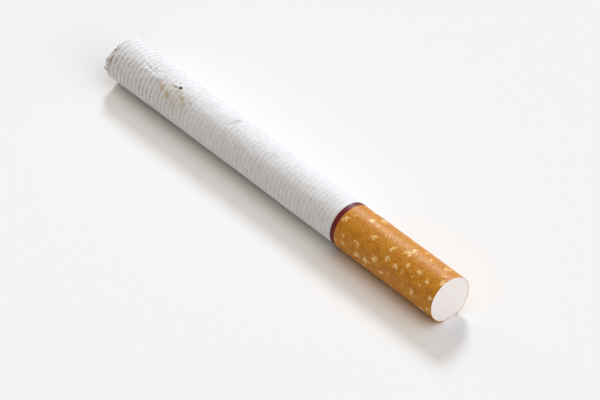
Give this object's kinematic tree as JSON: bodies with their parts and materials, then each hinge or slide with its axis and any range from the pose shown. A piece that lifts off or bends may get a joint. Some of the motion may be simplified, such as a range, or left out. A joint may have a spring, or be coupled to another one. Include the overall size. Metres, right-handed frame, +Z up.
{
  "type": "filter cigarette",
  "caption": "Whole unlit filter cigarette lying on its side: paper-wrapped tobacco rod with an open end, joined to a fibre filter by cork-patterned tipping paper.",
  "frame": {"origin": "on the surface that the cigarette lies on, under the middle of its length", "axes": "+X along the rod's axis towards the filter's mouth end, +Z up from the surface; the puncture is on the -Y side of the top"},
  "size_m": [0.0844, 0.0082, 0.0081],
  "materials": {
    "tobacco": "dry cut tobacco leaf, matt brown",
    "tobacco_shreds": "dry cut tobacco ribbons, matt brown with paler edges",
    "cigarette_paper": "thin white ribbed paper, matt",
    "filter_fibre": "white fibre tow cut square, matt",
    "plug_wrap": "white paper, matt",
    "tipping_paper": "orange-brown cork-pattern print with a dark red edge line, satin"
  },
  "bodies": {
    "root": {"tobacco_filler": "tobacco", "cigarette_paper": "cigarette_paper", "filter_plug": "filter_fibre", "plug_wrap": "plug_wrap", "tipping_paper": "tipping_paper", "tobacco_shred_01": "tobacco_shreds", "tobacco_shred_02": "tobacco_shreds", "tobacco_shred_03": "tobacco_shreds", "tobacco_shred_04": "tobacco_shreds", "tobacco_shred_05": "tobacco_shreds", "tobacco_shred_06": "tobacco_shreds", "tobacco_shred_07": "tobacco_shreds", "tobacco_shred_08": "tobacco_shreds", "tobacco_shred_09": "tobacco_shreds", "tobacco_shred_10": "tobacco_shreds", "tobacco_shred_11": "tobacco_shreds", "tobacco_shred_12": "tobacco_shreds", "tobacco_shred_13": "tobacco_shreds", "tobacco_shred_14": "tobacco_shreds", "tobacco_shred_15": "tobacco_shreds", "tobacco_shred_16": "tobacco_shreds", "tobacco_shred_17": "tobacco_shreds", "tobacco_shred_18": "tobacco_shreds", "tobacco_shred_19": "tobacco_shreds", "tobacco_shred_20": "tobacco_shreds", "tobacco_shred_21": "tobacco_shreds", "tobacco_shred_22": "tobacco_shreds", "tobacco_shred_23": "tobacco_shreds", "tobacco_shred_24": "tobacco_shreds", "tobacco_shred_25": "tobacco_shreds", "tobacco_shred_26": "tobacco_shreds", "tobacco_shred_27": "tobacco_shreds", "tobacco_shred_28": "tobacco_shreds", "tobacco_shred_29": "tobacco_shreds", "tobacco_shred_30": "tobacco_shreds", "tobacco_shred_31": "tobacco_shreds", "tobacco_shred_32": "tobacco_shreds", "tobacco_shred_33": "tobacco_shreds", "tobacco_shred_34": "tobacco_shreds", "tobacco_shred_35": "tobacco_shreds", "tobacco_shred_36": "tobacco_shreds", "tobacco_shred_37": "tobacco_shreds", "tobacco_shred_38": "tobacco_shreds", "tobacco_shred_39": "tobacco_shreds", "tobacco_shred_40": "tobacco_shreds", "tobacco_shred_41": "tobacco_shreds", "tobacco_shred_42": "tobacco_shreds", "tobacco_shred_43": "tobacco_shreds", "tobacco_shred_44": "tobacco_shreds", "tobacco_shred_45": "tobacco_shreds", "tobacco_shred_46": "tobacco_shreds", "tobacco_shred_47": "tobacco_shreds", "tobacco_shred_48": "tobacco_shreds", "tobacco_shred_49": "tobacco_shreds", "tobacco_shred_50": "tobacco_shreds", "tobacco_shred_51": "tobacco_shreds", "tobacco_shred_52": "tobacco_shreds", "tobacco_shred_53": "tobacco_shreds", "tobacco_shred_54": "tobacco_shreds"}
  },
  "joints": []
}
